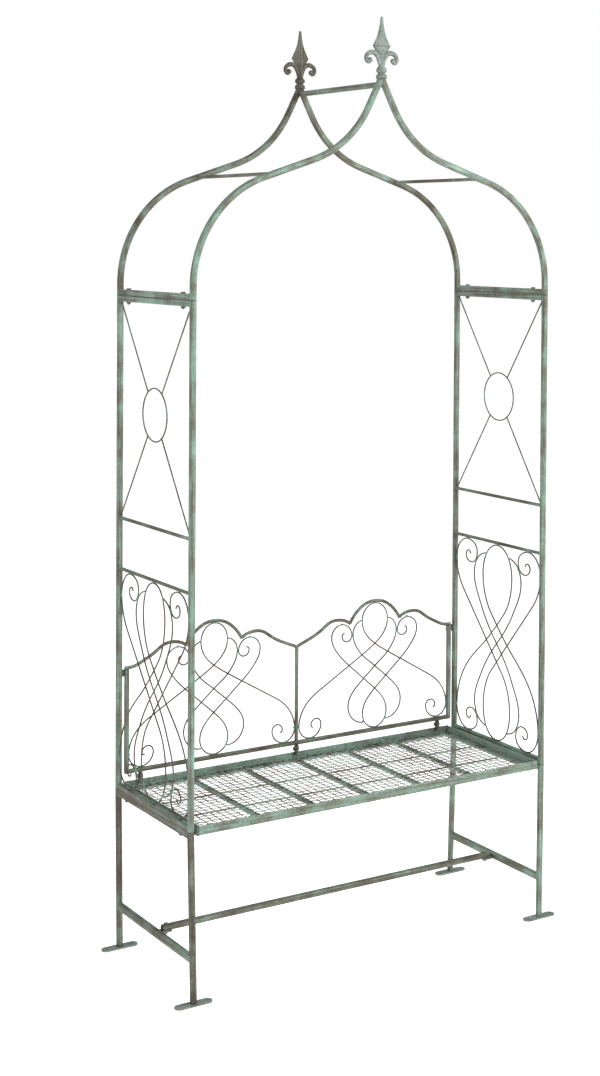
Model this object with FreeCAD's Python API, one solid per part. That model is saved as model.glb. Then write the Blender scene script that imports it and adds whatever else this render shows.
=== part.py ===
import FreeCAD, Part
import math
import os

# Arched garden bench: two side frames on legs carry a mesh seat, a scrolled backrest
# and an ogee arch with finials.  X runs to the right, Y to the back, Z up, in mm.
# The origin is on the ground under the middle of the bench.

Vec = FreeCAD.Vector

# Overall sizes
overall_height = 2387.6
width_over_posts = 1079.5
depth_over_posts = 414.0

# Round tube and square tube
post_d = 17.0
tube_wall = 1.2
rail = 15.0
rod_d = 9.0
wire_d = 4.0

# Heights of the joints and cross members
seat_joint_z = 414.0
lower_rod_rise = 568.0
rod_spacing = 130.0
cross_rail_z = 109.0

# Feet: each leg leans a little inward in X and outward in Y
foot_in = 7.0
foot_out = 5.0
foot_plate = (100.0, 26.0, 4.0)
foot_hole_d = 8.0
foot_hole_pitch = 72.0

# Ring and braces in the upper side panel
ring_outer_d = 136.0

# Seat: angle frame, flat bars, rods under them and welded mesh on top
seat_gap = 11.75
angle_leg = 22.0
angle_flange = 25.0
angle_t = 3.0
seat_rise = 13.0
slat_count = 5
slat_w = 20.0
seat_rod_d = 5.0
mesh_pitch = 20.0
mesh_wire_d = 2.5
bracket_w = 22.0

# Stretcher between the leg frames
stretcher = 13.0
stretcher_rise = 5.0
stretcher_gap = 12.5
stretcher_tab = (36.0, 24.0, 3.0)

# Backrest: rises are taken from its bottom bar, crest places from the middle of a panel
back_bar = 10.0
back_gap = 27.0
back_shoulder_rise = 320.0
back_crest_rise = 362.0
back_corner_rise = 268.0
back_valley_rise = 262.0
crest_cusp = 82.75
crest_cusp_drop = 14.0
crest_shoulder = 127.3
crest_slope = 193.5
crest_slope_drop = 3.0
back_post_gap = 8.5
back_hinge_in = 39.25
back_tab = (16.0, 3.0)
corner_plate = (18.0, 3.0)

# Ogee arch: corners of its centre line before they are rounded, as rises from its joint
arch_corner_rise = 232.0
arch_waist_x = 89.0
arch_waist_rise = 379.0
arch_apex_rise = 554.0
arch_rise = 551.0
arch_bend = 280.0
waist_bend = 275.0
arch_rod_x = 311.0
ridge_bar = 13.0
ridge_drop = 14.0

# Fasteners
bolt_d = 6.0
bolt_clear = 0.5
nut_clear = 0.2
head_af = 10.0
head_h = 4.0
nut_h = 5.0
bolt_tail = 7.0
joint_bolt_in = 50.0
seat_bolt_x_in = 9.75
seat_bolt_y_in = 18.0
layer_gap = 0.1
hinge_clear = 1.0
screw_d = 4.0

# Finials
finial_height = 156.6
finial_neck_r = 9.0
finial_bead_r = 4.5
finial_leaf_r = 4.0

# Worked out from the sizes above
post_r = post_d / 2
wire_r = wire_d / 2
rod_r = rod_d / 2
bar_r = back_bar / 2
post_x = (width_over_posts - post_d) / 2
post_y = (depth_over_posts - post_d) / 2
plate_t = foot_plate[2]
finial_seat_z = overall_height - finial_height
arch_joint_z = finial_seat_z - arch_rise
lower_rod_z = seat_joint_z + lower_rod_rise
upper_rod_z = lower_rod_z + rod_spacing
seat_top_z = seat_joint_z + seat_rise
seat_x = post_x - rail / 2 - seat_gap
seat_y = post_y + post_r
seat_z = seat_top_z - angle_leg
back_bottom_z = seat_top_z + back_gap
back_shoulder_z = back_bottom_z + back_shoulder_rise
back_crest_z = back_bottom_z + back_crest_rise
back_corner_z = back_bottom_z + back_corner_rise
back_valley_z = back_bottom_z + back_valley_rise
upright_x = post_x - post_r - back_post_gap - bar_r
back_hinge_x = upright_x - back_hinge_in
back_screw_z = back_corner_z - rod_r - corner_plate[0] / 2


os.makedirs("parts", exist_ok=True)


# Basic solids

def box(x0, x1, y0, y1, z0, z1):
    return Part.makeBox(x1 - x0, y1 - y0, z1 - z0, Vec(x0, y0, z0))


def cylinder(start, end, radius):
    axis = end - start
    return Part.makeCylinder(radius, axis.Length, start, axis)


def hex_prism(across_flats, height, base):
    corner = across_flats / math.sqrt(3)
    ring = [Vec(corner * math.cos(math.radians(60 * i)), corner * math.sin(math.radians(60 * i)), 0)
            for i in range(7)]
    prism = Part.Face(Part.makePolygon(ring)).extrude(Vec(0, 0, height))
    prism.translate(base)
    return prism


def mirror_x(shape):
    return shape.mirror(Vec(0, 0, 0), Vec(1, 0, 0))


def mirror_y(shape):
    return shape.mirror(Vec(0, 0, 0), Vec(0, 1, 0))


def four_corners(shape):
    right = [shape, mirror_y(shape)]
    return right + [mirror_x(part) for part in right]


def square_tube_y(x, z, half_length, side):
    inner = side / 2 - tube_wall
    outer = box(x - side / 2, x + side / 2, -half_length, half_length, z - side / 2, z + side / 2)
    bore = box(x - inner, x + inner, -half_length, half_length, z - inner, z + inner)
    return outer.cut(bore)


def save(name, shapes):
    solids = []
    for shape in shapes if isinstance(shapes, list) else [shapes]:
        solids += shape.Solids
    for solid in solids:
        if not solid.isValid():
            print("NOT VALID", name)
    shape = solids[0] if len(solids) == 1 else Part.makeCompound(solids)
    shape.exportStep("parts/" + name + ".step")
    print(name, len(solids), round(sum(solid.Volume for solid in solids)))


def save_pair(name, shapes):
    shapes = shapes if isinstance(shapes, list) else [shapes]
    save(name + "_right", shapes)
    save(name + "_left", [mirror_x(shape) for shape in shapes])


# Paths in a vertical plane, as lists of 2-D points (across, up)

def add(a, b, scale=1.0):
    return (a[0] + b[0] * scale, a[1] + b[1] * scale)


def dot(a, b):
    return a[0] * b[0] + a[1] * b[1]


def unit(a):
    length = math.hypot(a[0], a[1])
    return (a[0] / length, a[1] / length)


def arc_or_line(start, tangent, end, place):
    """Edge that leaves start along tangent and reaches end."""
    chord = add(end, start, -1)
    side = (-tangent[1], tangent[0])
    offset = dot(chord, side)
    if abs(offset) < 1e-4 * math.hypot(chord[0], chord[1]):
        return Part.LineSegment(place(start), place(end)).toShape()
    radius = dot(chord, chord) / (2 * offset)
    centre = add(start, side, radius)
    middle = add(add(start, chord, 0.5), centre, -1)
    crown = add(centre, unit(middle), abs(radius))
    return Part.Arc(place(start), place(crown), place(end)).toShape()


def biarc(p0, t0, p1, t1, place):
    """Two arcs that join p0 to p1 with the given directions at both ends."""
    chord = add(p1, p0, -1)
    spread = 2 * (1 - dot(t0, t1))
    along = dot(chord, add(t0, t1))
    if spread < 1e-6:
        reach = dot(chord, chord) / (2 * along)
    else:
        reach = (math.sqrt(along * along + spread * dot(chord, chord)) - along) / spread
    joint = add(add(p0, chord, 0.5), add(t0, t1, -1), reach / 2)
    first = arc_or_line(p0, t0, joint, place)
    back = arc_or_line(p1, (-t1[0], -t1[1]), joint, place)
    return [first, back]


def curve(stations, place):
    """Smooth wire through (across, up, heading in degrees) stations."""
    edges = []
    for (x0, z0, h0), (x1, z1, h1) in zip(stations, stations[1:]):
        t0 = (math.cos(math.radians(h0)), math.sin(math.radians(h0)))
        t1 = (math.cos(math.radians(h1)), math.sin(math.radians(h1)))
        chord = unit((x1 - x0, z1 - z0))
        if dot(chord, t0) > 0.99995 and dot(chord, t1) > 0.99995:
            edges.append(Part.LineSegment(place((x0, z0)), place((x1, z1))).toShape())
        else:
            edges += biarc((x0, z0), t0, (x1, z1), t1, place)
    return Part.Wire(Part.__sortEdges__(edges))


def moved_out(value, growth, edge):
    """A place on a panel whose half size grows: past the edge it keeps its distance from the end."""
    share = min(abs(value) / edge, 1.0)
    return value + growth * share * math.copysign(1.0, value)


def fitted(stations, growth, edges):
    """The same stations on a larger or smaller panel; the curls past the edges keep their size."""
    result = []
    for x, z, heading in stations:
        stretch = [1 + more / edge if abs(value) < edge else 1.0
                   for value, more, edge in zip((x, z), growth, edges)]
        along = stretch[0] * math.cos(math.radians(heading))
        up = stretch[1] * math.sin(math.radians(heading))
        result.append((moved_out(x, growth[0], edges[0]), moved_out(z, growth[1], edges[1]),
                       math.degrees(math.atan2(up, along))))
    return result


def mirrored(stations):
    return [(-x, z, 180 - heading) for x, z, heading in stations]


def sweep(path, start, toward, radius):
    """Round rod of the given radius along a wire that starts at start."""
    profile = Part.Wire(Part.makeCircle(radius, start, toward))
    return path.makePipeShell([profile], True, False)


def bent_rod(stations, place, radius):
    x, z, heading = stations[0]
    ahead = (x + math.cos(math.radians(heading)), z + math.sin(math.radians(heading)))
    start = place((x, z))
    return sweep(curve(stations, place), start, place(ahead) - start, radius)


# Fasteners: every bolt stands on its grip, head above and nut below

def bolt(x, y, top, bottom, countersunk=False):
    shank = cylinder(Vec(x, y, bottom - bolt_tail), Vec(x, y, top), bolt_d / 2)
    if countersunk:
        cone = Part.makeCone(bolt_d / 2, bolt_d, bolt_d / 2, Vec(x, y, top - bolt_d / 2), Vec(0, 0, 1))
        return shank.fuse(cone).removeSplitter()
    return shank.fuse(hex_prism(head_af, head_h, Vec(x, y, top))).removeSplitter()


def nut(x, y, bottom):
    bore = cylinder(Vec(x, y, bottom - nut_h), Vec(x, y, bottom), (bolt_d + nut_clear) / 2)
    return hex_prism(head_af, nut_h, Vec(x, y, bottom - nut_h)).cut(bore)


def bolt_hole(x, y, z0, z1):
    return cylinder(Vec(x, y, z0), Vec(x, y, z1), (bolt_d + bolt_clear) / 2)


def turned_to(direction, shape, pivot):
    """The shape, drawn along Z at the origin, moved to pivot with its Z along direction."""
    placed = shape.copy()
    placed.Placement = FreeCAD.Placement(pivot, FreeCAD.Rotation(Vec(0, 0, 1), direction))
    return placed


# Legs and feet

leg_top = Vec(post_x, -post_y, seat_joint_z)
leg_foot = Vec(post_x - foot_in, -post_y - foot_out, plate_t)


def leg_axis(z):
    share = (seat_joint_z - z) / (seat_joint_z - plate_t)
    return leg_top + (leg_foot - leg_top) * share


def leg_body(radius):
    over = post_d
    axis = cylinder(leg_axis(plate_t - over), leg_axis(seat_joint_z + over), radius)
    return axis.common(box(0, 2 * post_x, -2 * post_y, 0, plate_t, seat_joint_z))


def make_legs():
    solid_leg = leg_body(post_r)
    leg = solid_leg.cut(leg_body(post_r - tube_wall))
    save_pair("leg_front", leg)
    save_pair("leg_back", mirror_y(leg))
    both = [solid_leg, mirror_y(solid_leg)]

    bolt_y = post_y - joint_bolt_in
    top_rail = square_tube_y(post_x, seat_joint_z - rail / 2, post_y, rail).cut(both)
    for y in (-bolt_y, bolt_y):
        top_rail = top_rail.cut(bolt_hole(post_x, y, seat_joint_z - rail, seat_joint_z))
    save_pair("leg_top_rail", top_rail)

    low = leg_axis(cross_rail_z)
    save_pair("leg_cross_rail", square_tube_y(low.x, cross_rail_z, -low.y, rail).cut(both))

    length, width, thick = foot_plate
    straight = length - width
    plate = box(-straight / 2, straight / 2, -width / 2, width / 2, 0, thick)
    for x in (-straight / 2, straight / 2):
        plate = plate.fuse(Part.makeCylinder(width / 2, thick, Vec(x, 0, 0)))
    plate = plate.removeSplitter()
    for x in (-foot_hole_pitch / 2, foot_hole_pitch / 2):
        plate = plate.cut(Part.makeCylinder(foot_hole_d / 2, thick, Vec(x, 0, 0)))
    plate.translate(Vec(leg_foot.x, leg_foot.y, 0))
    save("foot_plates", four_corners(plate))


def make_stretcher():
    z = cross_rail_z + stretcher_rise
    end = leg_axis(cross_rail_z).x - rail / 2
    reach, width, thick = stretcher_tab
    half = end - stretcher_gap
    inner = stretcher / 2 - tube_wall
    bar = box(-half, half, -stretcher / 2, stretcher / 2, z - stretcher / 2, z + stretcher / 2)
    bar = bar.cut(box(-half, half, -inner, inner, z - inner, z + inner))
    tab_top = z - stretcher / 2
    tab = box(end - reach, end, -width / 2, width / 2, tab_top - thick, tab_top)
    hole_x = end - (stretcher_gap + reach) / 2
    hole = bolt_hole(hole_x, 0, tab_top - thick, z + stretcher / 2)
    tab = tab.cut(hole)
    save("stretcher", bar.cut([hole, mirror_x(hole)]))
    save("stretcher_tabs", [tab, mirror_x(tab)])
    pin = bolt(hole_x, 0, z + stretcher / 2, tab_top - thick)
    lock = nut(hole_x, 0, tab_top - thick)
    return [pin, mirror_x(pin)], [lock, mirror_x(lock)]


# Side frames

def side_place(offset):
    return lambda point: Vec(post_x + offset, point[0], point[1])


def scroll_wires(stations_low, stations_high, link, place, mid):
    """Six bent wires in two layers that cross without touching: the layer is -1 or 1."""
    wires = []
    pieces = [(stations_low, False, 1), (stations_low, True, -1),
              (stations_high, False, -1), (stations_high, True, 1),
              (link, False, -1), (link, True, 1)]
    for stations, flip, layer in pieces:
        drawn = mirrored(stations) if flip else stations
        moved = [(x + mid[0], z + mid[1], h) for x, z, h in drawn]
        wires.append(bent_rod(moved, place(layer * (wire_d + layer_gap) / 2), wire_r))
    return wires


# Side scroll, drawn on a panel of side_design half sizes: each long wire runs from a curl to
# the tip of the loop at the other end, and the link runs from loop to loop.  Outside
# side_edges the drawing keeps its size when the panel grows
side_design = (188.0, 272.25)
side_edges = (88.0, 176.0)
side_low = [(122, -231, -80), (131, -240, 0), (143, -227, 90), (118, -208, 180), (91, -240, -90),
            (136, -272.25, 0), (188, -212, 90), (133, -76, 132), (49, 1, 136), (-26, 81, 131),
            (-63, 188, 90), (0, 272.25, 0)]
side_high = [(122, 231, 80), (131, 240, 0), (143, 227, -90), (118, 208, 180), (91, 240, 90),
             (136, 272.25, 0), (188, 212, -90), (152, 124, -131), (-26, -81, -131),
             (-63, -188, -90), (0, -272.25, 0)]
side_link = [(53, 243.4, -14), (90.2, 222.5, -54.5), (104, 180, -90), (68, 90, -118), (0, 0, -133),
             (-68, -90, -118), (-104, -180, -90), (-90.2, -222.5, -54.5), (-53, -243.4, -14)]


def make_side_frame():
    post = cylinder(Vec(post_x, -post_y, seat_joint_z), Vec(post_x, -post_y, arch_joint_z), post_r)
    bore = cylinder(Vec(post_x, -post_y, seat_joint_z), Vec(post_x, -post_y, arch_joint_z),
                    post_r - tube_wall)
    save_pair("side_post_front", post.cut(bore))
    save_pair("side_post_back", mirror_y(post.cut(bore)))
    both = [post, mirror_y(post)]

    bolt_y = post_y - joint_bolt_in
    sinks = []
    for y in (-bolt_y, bolt_y):
        depth = bolt_d / 2
        sinks.append(Part.makeCone(depth + bolt_clear / 2, 2 * depth + bolt_clear / 2, depth,
                                   Vec(post_x, y, seat_joint_z + rail - depth), Vec(0, 0, 1)))
        sinks.append(bolt_hole(post_x, y, seat_joint_z, seat_joint_z + rail))
    bottom = square_tube_y(post_x, seat_joint_z + rail / 2, post_y, rail)
    save_pair("side_bottom_rail", bottom.cut(both).cut(sinks))
    holes = [bolt_hole(post_x, y, arch_joint_z - rail, arch_joint_z) for y in (-bolt_y, bolt_y)]
    top = square_tube_y(post_x, arch_joint_z - rail / 2, post_y, rail)
    save_pair("side_top_rail", top.cut(both).cut(holes))

    rods = []
    for z in (lower_rod_z, upper_rod_z):
        rods.append(cylinder(Vec(post_x, -post_y, z), Vec(post_x, post_y, z), rod_r).cut(both))
    save("side_rods", rods + [mirror_x(part) for part in rods])

    low, high = upper_rod_z + rod_r, arch_joint_z - rail
    middle = Vec(post_x, 0, (low + high) / 2)
    ring_r = ring_outer_d / 2
    ring = Part.makeTorus(ring_r - wire_r, wire_r, middle, Vec(1, 0, 0))
    save("side_rings", [ring, mirror_x(ring)])
    panel = box(0, 2 * post_x, -post_y + post_r, post_y - post_r, low, high)
    corner = Vec(0, post_y - post_r, (high - low) / 2)
    along = Vec(corner)
    along.normalize()
    brace = cylinder(middle + along * ring_r, middle + corner * 1.1, wire_r).common(panel)
    braces = [brace, mirror_y(brace)]
    braces += [part.mirror(middle, Vec(0, 0, 1)) for part in braces]
    save_pair("side_braces", braces)

    floor, ceiling = seat_joint_z + rail + wire_r, lower_rod_z - rod_r - wire_r
    growth = (post_y - post_r - wire_r - side_design[0], (ceiling - floor) / 2 - side_design[1])
    drawn = [fitted(stations, growth, side_edges) for stations in (side_low, side_high, side_link)]
    wires = scroll_wires(*drawn, side_place, (0, (floor + ceiling) / 2))
    save_pair("side_scroll", wires)


def frame_bolts():
    """Bolts and nuts of the right-hand joints under the arch and at seat height."""
    bolts, nuts = [], []
    for y in (joint_bolt_in - post_y, post_y - joint_bolt_in):
        bolts.append(bolt(post_x, y, arch_joint_z + rail, arch_joint_z - rail))
        nuts.append(nut(post_x, y, arch_joint_z - rail))
        bolts.append(bolt(post_x, y, seat_joint_z + rail, seat_joint_z - rail, countersunk=True))
        nuts.append(nut(post_x, y, seat_joint_z - rail))
    return bolts, nuts


# Seat

seat_bolt_x = seat_x - seat_bolt_x_in
seat_bolt_y = post_y - seat_bolt_y_in


def angle_prism(outer, length_axis):
    """Angle section with its lip on the outer face and its flange inward, from -Y or +X."""
    far = 2 * post_x
    if length_axis == "x":
        lip = box(-far, far, -outer, -outer + angle_t, seat_z, seat_top_z)
        flange = box(-far, far, -outer, -outer + angle_flange, seat_z, seat_z + angle_t)
    else:
        lip = box(outer - angle_t, outer, -far, far, seat_z, seat_top_z)
        flange = box(outer - angle_flange, outer, -far, far, seat_z, seat_z + angle_t)
    return lip.fuse(flange).removeSplitter()


def plan_prism(points):
    ring = [Vec(x, y, seat_z) for x, y in points]
    return Part.Face(Part.makePolygon(ring + ring[:1])).extrude(Vec(0, 0, angle_leg))


def make_seat():
    mitre = 2 * angle_flange
    front_plan = plan_prism([(-seat_x, -seat_y), (seat_x, -seat_y),
                             (seat_x - mitre, mitre - seat_y), (mitre - seat_x, mitre - seat_y)])
    end_plan = plan_prism([(seat_x, -seat_y), (seat_x, seat_y),
                           (seat_x - mitre, seat_y - mitre), (seat_x - mitre, mitre - seat_y)])
    front = angle_prism(seat_y, "x").common(front_plan)
    end = angle_prism(seat_x, "y").common(end_plan)
    hole = bolt_hole(seat_bolt_x, -seat_bolt_y, seat_z - 2 * angle_t, seat_z + angle_t)
    save("seat_front_rail", front)
    save("seat_back_rail", mirror_y(front))
    save_pair("seat_end_rail", end.cut([hole, mirror_y(hole)]))

    inner_x, inner_y = seat_x - angle_flange, seat_y - angle_flange
    slats = []
    for i in range(slat_count):
        x = -inner_x + 2 * inner_x * (i + 1) / (slat_count + 1)
        slats.append(box(x - slat_w / 2, x + slat_w / 2, -inner_y, inner_y, seat_z, seat_z + angle_t))
    save("seat_slats", slats)

    rods = []
    rod_z = seat_z - seat_rod_d / 2
    for y in (-inner_y / 3, inner_y / 3):
        end_x = seat_x - angle_t
        rods.append(cylinder(Vec(-end_x, y, rod_z), Vec(end_x, y, rod_z), seat_rod_d / 2))
    save("seat_rods", rods)

    # Mesh wires rest on the flange inside the lip and stop short of the corner bolts
    radius = mesh_wire_d / 2
    keep = head_af / 2 + mesh_wire_d
    reach_x, reach_y = seat_x - angle_t - radius, seat_y - angle_t - radius
    wires = []
    layer = seat_z + angle_t + radius
    across = int(reach_y / mesh_pitch)
    for i in range(-across, across + 1):
        y = i * mesh_pitch
        half = reach_x
        if abs(abs(y) - seat_bolt_y) < keep:
            half = seat_bolt_x - keep
        wires.append(cylinder(Vec(-half, y, layer), Vec(half, y, layer), radius))
    layer += mesh_wire_d
    along = int(reach_x / mesh_pitch)
    for i in range(-along, along + 1):
        x = i * mesh_pitch
        half = reach_y
        if abs(abs(x) - seat_bolt_x) < keep:
            half = seat_bolt_y - keep
        wires.append(cylinder(Vec(x, -half, layer), Vec(x, half, layer), radius))
    save("seat_mesh", wires)


def make_seat_brackets():
    inner = post_x - rail / 2
    y0 = post_r - post_y
    y1 = y0 + bracket_w
    flat = box(seat_bolt_x - head_af, inner, y0, y1, seat_z - angle_t, seat_z)
    upright = box(inner - angle_t, inner, y0, y1, seat_z - angle_t, seat_top_z)
    hole = bolt_hole(seat_bolt_x, -seat_bolt_y, seat_z - angle_t, seat_z)
    bracket = flat.fuse(upright).removeSplitter().cut(hole)
    save("seat_brackets", four_corners(bracket))
    pin = bolt(seat_bolt_x, -seat_bolt_y, seat_z + angle_t, seat_z - angle_t)
    lock = nut(seat_bolt_x, -seat_bolt_y, seat_z - angle_t)
    return four_corners(pin), four_corners(lock)


# Backrest: drawn for one half, between the middle upright and the right-hand one

back_design = (247.625, 173.0, 175.5)
back_edges = (70.0, 75.0)
back_low = [(202, -145, 0), (209, -138, 90), (193, -122, 180), (177, -138, -90), (212.5, -173, 0),
            (247.625, -138, 90), (222, -76, 132), (165, -36, 149.5), (34.5, 40, 149), (-41, 128, 90),
            (0, 175.5, 0)]
back_high = [(99, 100, 0), (107, 92, -90), (91, 76, 180), (75, 92, 90), (108, 125, 0), (141, 92, -90),
             (116, 41, -130), (86, 11, -139), (20, -46, -139), (-41, -130, -90), (0, -173, 0)]
back_link = [(45.1, 130, -16), (71, 94, -90), (44, 37, -130), (0, 0, -139), (-39, -33, -139),
             (-89, -104, -90), (-38.8, -154.3, 0)]


def back_place(offset):
    return lambda point: Vec(point[0], post_y + offset, point[1])


def make_backrest():
    place = back_place(0)
    low_z = back_bottom_z - bar_r
    side = box(upright_x - bar_r, upright_x + bar_r, post_y - bar_r, post_y + bar_r,
               back_bottom_z + bar_r, back_corner_z - rod_r)
    z = back_screw_z
    hole = cylinder(Vec(upright_x, post_y - back_bar, z), Vec(upright_x, post_y + back_bar, z),
                    (screw_d + bolt_clear) / 2)
    side = side.cut(hole)
    save("back_uprights", [side, mirror_x(side)])
    bottom = box(-upright_x - bar_r, upright_x + bar_r, post_y - bar_r, post_y + bar_r,
                 low_z, low_z + back_bar)
    save("back_bottom_rail", bottom)

    # Crest rods: a shoulder, the middle arch and the outer shoulder; they meet in two cusps
    half = upright_x / 2
    growth_x = half - bar_r - wire_r - back_design[0]
    cusp, shoulder, slope = [moved_out(place_x, growth_x, back_edges[0])
                             for place_x in (crest_cusp, crest_shoulder, crest_slope)]
    cusp_z = back_shoulder_z - crest_cusp_drop
    slope_z = (back_valley_z + back_shoulder_z) / 2 - crest_slope_drop
    inner = [(0, back_valley_z, 24), (half - slope, slope_z, 27),
             (half - shoulder, back_shoulder_z, 0), (half - cusp, cusp_z, -42)]
    arch = [(half - cusp, cusp_z, 62), (half, back_crest_z, 0), (half + cusp, cusp_z, -62)]
    outer = [(half + cusp, cusp_z, 42), (half + shoulder, back_shoulder_z, 0),
             (half + slope, slope_z, -27), (upright_x - bar_r, back_corner_z, 0),
             (upright_x + bar_r, back_corner_z, 0)]
    arch_rod = bent_rod(arch, place, rod_r)
    inner_rod = bent_rod(inner, place, rod_r).cut(arch_rod)
    outer_rod = bent_rod(outer, place, rod_r).cut(arch_rod)
    right_of_middle = box(0, 2 * post_x, 0, 2 * post_y, 0, overall_height)
    inner_rod = inner_rod.common(right_of_middle)
    save_pair("back_crest", [inner_rod, arch_rod, outer_rod])
    post = cylinder(Vec(0, post_y, back_bottom_z + bar_r), Vec(0, post_y, back_valley_z), bar_r)
    save("back_upright_middle", post.cut([inner_rod, mirror_x(inner_rod)]))

    # Scrolls touch the bars round them
    design_w, design_low, design_high = back_design
    left, right = bar_r + wire_r, upright_x - bar_r - wire_r
    floor, ceiling = back_bottom_z + bar_r + wire_r, back_crest_z - rod_r - wire_r
    growth = ((right - left) / 2 - design_w, (ceiling - floor - design_low - design_high) / 2)
    mid = ((left + right) / 2, floor + design_low + growth[1])
    drawn = [fitted(stations, growth, back_edges) for stations in (back_low, back_high, back_link)]
    wires = scroll_wires(*drawn, back_place, mid)
    save_pair("back_scroll", wires)


def back_tabs_and_pins():
    """Three hinge pins under the backrest, between its tabs and the tabs of the seat rail."""
    width, thick = back_tab
    pin_z = (seat_top_z + back_bottom_z - bar_r) / 2
    lip_y = seat_y - angle_t
    seat_tabs, back_tabs, pins, nuts = [], [], [], []
    for x in (-back_hinge_x, 0, back_hinge_x):
        hole_r = (bolt_d + bolt_clear) / 2
        hole = cylinder(Vec(x - 2 * width, post_y, pin_z), Vec(x + 2 * width, post_y, pin_z), hole_r)
        low = box(x - thick, x, post_y - width / 2, lip_y, seat_top_z - width / 2, pin_z + width / 2)
        top_stop = back_bottom_z - bar_r
        high = box(x, x + thick, post_y - width / 2, post_y + width / 2, pin_z - width / 2, top_stop)
        low = low.common(box(x - thick, x, 0, 2 * post_y, 0, top_stop - hinge_clear))
        high = high.common(box(x, x + thick, 0, lip_y - hinge_clear, 0, top_stop))
        seat_tabs.append(low.cut(hole))
        back_tabs.append(high.cut(hole))
        right = Vec(1, 0, 0)
        pin = bolt(0, 0, thick, -thick)
        pins.append(turned_to(right, pin, Vec(x, post_y, pin_z)))
        nuts.append(turned_to(right, nut(0, 0, -thick), Vec(x, post_y, pin_z)))
    save("back_hinge_tabs_lower", seat_tabs)
    save("back_hinge_tabs_upper", back_tabs)
    return pins, nuts


def back_corner_plates():
    """A plate welded to each back post, screwed to the top of the backrest upright."""
    tall, thick = corner_plate
    z = back_screw_z
    y = post_y + bar_r
    post = cylinder(Vec(post_x, post_y, z - tall), Vec(post_x, post_y, z + tall), post_r)
    hole = cylinder(Vec(upright_x, y, z), Vec(upright_x, y + thick, z), (screw_d + bolt_clear) / 2)
    plate = box(upright_x - bar_r, post_x, y, y + thick, z - tall / 2, z + tall / 2).cut([post, hole])
    front = Vec(upright_x, post_y - bar_r, z)
    shank = cylinder(front, front + Vec(0, back_bar + thick, 0), screw_d / 2)
    head = Part.makeSphere(screw_d, front + Vec(0, screw_d / 2, 0))
    head = head.common(box(0, 2 * post_x, 0, front.y, 0, overall_height))
    screw = shank.fuse(head).removeSplitter()
    save("back_corner_plates", [plate, mirror_x(plate)])
    save("back_corner_screws", [screw, mirror_x(screw)])


# Arch: two hoops of two ogee tubes each, joined by rails, rods and a ridge bar

def rounded(points, radii, place):
    """Wire along a polyline whose inner corners are rounded to the given radii."""
    edges = []
    at = points[0]
    for before, corner, after, radius in zip(points, points[1:], points[2:], radii):
        t0, t1 = unit(add(corner, before, -1)), unit(add(after, corner, -1))
        turn = math.acos(dot(t0, t1))
        cut = radius * math.tan(turn / 2)
        begin, end = add(corner, t0, -cut), add(corner, t1, cut)
        edges.append(Part.LineSegment(place(at), place(begin)).toShape())
        edges.append(arc_or_line(begin, t0, end, place))
        at = end
    edges.append(Part.LineSegment(place(at), place(points[-1])).toShape())
    return Part.Wire(edges)


def arch_path():
    shoulder = (post_x, arch_joint_z + arch_corner_rise)
    waist = (arch_waist_x, arch_joint_z + arch_waist_rise)
    apex = (0, arch_joint_z + arch_apex_rise)
    beyond = add(apex, unit(add(apex, waist, -1)), post_d)
    corners = [(post_x, arch_joint_z), shoulder, waist, beyond]
    return rounded(corners, (arch_bend, waist_bend), lambda point: Vec(point[0], -post_y, point[1]))


def make_arch():
    start, up = Vec(post_x, -post_y, arch_joint_z), Vec(0, 0, 1)
    keep = box(0, 2 * post_x, -2 * post_y, 0, arch_joint_z, finial_seat_z)
    full = sweep(arch_path(), start, up, post_r).common(keep)
    tube = full.cut(sweep(arch_path(), start, up, post_r - tube_wall))
    save_pair("arch_tube_front", tube)
    save_pair("arch_tube_back", mirror_y(tube))

    both = [full, mirror_y(full)]
    bolt_y = post_y - joint_bolt_in
    holes = [bolt_hole(post_x, y, arch_joint_z, arch_joint_z + rail) for y in (-bolt_y, bolt_y)]
    base = square_tube_y(post_x, arch_joint_z + rail / 2, post_y, rail)
    save_pair("arch_base_rail", base.cut(both).cut(holes))

    rod_z = arch_height_at(arch_rod_x)
    rod = cylinder(Vec(arch_rod_x, -post_y, rod_z), Vec(arch_rod_x, post_y, rod_z), rod_r).cut(both)
    save("arch_rods", [rod, mirror_x(rod)])

    ridge = square_tube_y(0, finial_seat_z - ridge_drop, post_y, ridge_bar)
    ridge = ridge.cut(both + [mirror_x(part) for part in both])
    save("ridge_bar", max(ridge.Solids, key=lambda solid: solid.Volume))


def arch_height_at(x):
    """Height of the arch centre line above a place across the width."""
    path = arch_path()
    ruler = Part.LineSegment(Vec(x, -post_y, arch_joint_z), Vec(x, -post_y, overall_height)).toShape()
    return path.distToShape(ruler)[1][0][0].z


# Finial: a flat diamond-section spear, two curled leaves and a ringed collar, cast in one

# Spear as (share of the height, half width, half thickness), leaf as (across, share, heading)
finial_spear = [(0.16, 7, 5), (0.36, 6, 5), (0.43, 16, 7), (0.53, 27, 8), (0.61, 20, 7.5),
                (0.74, 11, 6), (0.93, 5.5, 4), (1.0, 1.5, 1.5)]
finial_leaf = [(5, 0.17, 90), (26, 0.42, 20), (48, 0.31, -90), (39, 0.25, 180), (33, 0.30, 90)]
finial_beads = (0.04, 0.14)
finial_neck_top = 0.2


def diamond(z, half_w, half_t):
    corners = [Vec(half_w, 0, z), Vec(0, half_t, z), Vec(-half_w, 0, z), Vec(0, -half_t, z)]
    return Part.makePolygon(corners + corners[:1])


def finial_z(share):
    return finial_seat_z + share * finial_height


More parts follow.
